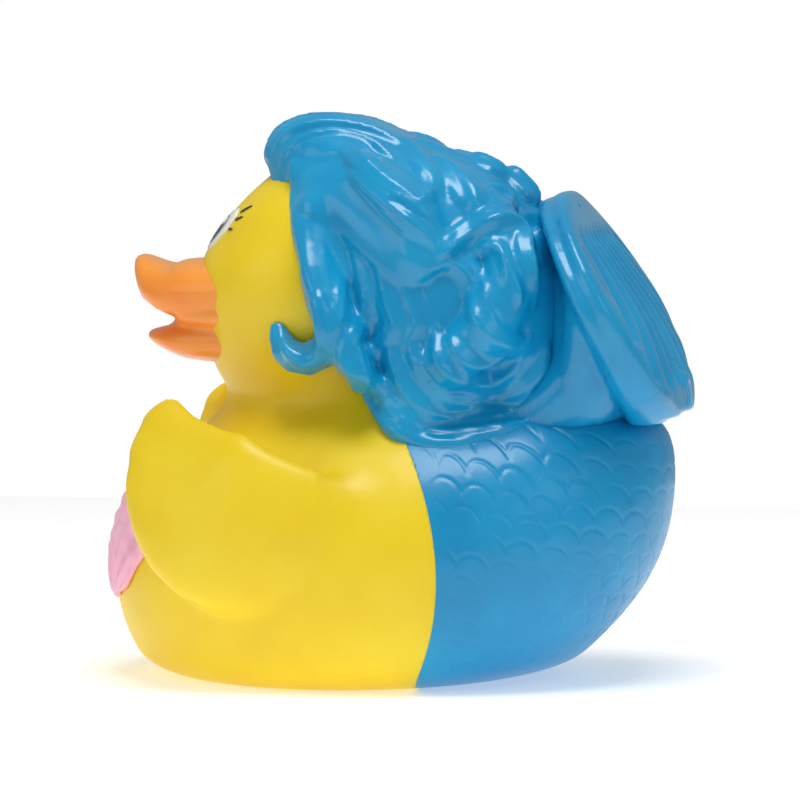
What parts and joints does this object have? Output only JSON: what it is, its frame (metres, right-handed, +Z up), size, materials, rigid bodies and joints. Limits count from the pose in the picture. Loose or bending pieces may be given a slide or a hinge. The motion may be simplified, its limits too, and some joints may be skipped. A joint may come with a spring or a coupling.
{
  "type": "floating chlorine dispenser",
  "caption": "Floating tablet dispenser shaped as a mermaid duck, with a slotted tablet basket that pulls down out of a well in its foot.",
  "frame": {"origin": "centre of the bounding box, on the plane that the foot stands on", "axes": "+Z up; the bill points along -X, and the duck's left side is towards -Y"},
  "size_m": [0.1216, 0.0972, 0.117],
  "materials": {
    "vinyl_yellow": "satin, soft-cast vinyl",
    "vinyl_blue": "semi-gloss vinyl with shallow scales",
    "vinyl_hair": "glossy vinyl",
    "vinyl_fin": "semi-gloss vinyl",
    "vinyl_orange": "semi-gloss vinyl",
    "vinyl_pink": "satin vinyl",
    "eye_enamel": "printed enamel",
    "moulded_white": "moulded polypropylene",
    "slide_plastic": "natural acetal",
    "sleeve_plastic": "moulded polypropylene",
    "seal_rubber": "moulded rubber",
    "steel": "turned stainless steel",
    "pressed_tablet": "pressed powder"
  },
  "bodies": {
    "float": {"front_shell": "vinyl_yellow", "rear_shell": "vinyl_blue", "hair": "vinyl_hair", "tail_fin": "vinyl_fin", "beak": "vinyl_orange", "left_scallop": "vinyl_pink", "right_scallop": "vinyl_pink", "left_eye": "eye_enamel", "right_eye": "eye_enamel", "well": "moulded_white", "flange_gasket": "seal_rubber", "ring_nut": "moulded_white", "stop_bush": "slide_plastic", "ballast_ring": "steel", "ballast_clip": "steel"},
    "basket": {"basket": "moulded_white", "rim_ring": "slide_plastic", "drag_ring": "seal_rubber", "tablet_1": "pressed_tablet", "tablet_2": "pressed_tablet"},
    "sleeve": {"dose_sleeve": "sleeve_plastic"},
    "cap": {"lock_cap": "moulded_white", "cap_washer": "seal_rubber"},
    "bail": {"pull_ring": "steel"}
  },
  "joints": [
    {"name": "basket_slide", "type": "slide", "parent": "float", "child": "basket", "axis": [0, 0, -1], "range_m": [0, 0.026]},
    {"name": "dose_turn", "type": "hinge", "parent": "basket", "child": "sleeve", "pos_m": [-0.012, 0, 0.02], "axis": [0, 0, 1], "range_deg": [0, 22.5]},
    {"name": "cap_turn", "type": "hinge", "parent": "basket", "child": "cap", "pos_m": [-0.012, 0, 0.004], "axis": [0, 0, 1], "range_deg": [0, 45]},
    {"name": "bail_fold", "type": "hinge", "parent": "cap", "child": "bail", "pos_m": [-0.008, 0, 0.0021], "axis": [0, -1, 0], "range_deg": [0, 90]}
  ]
}
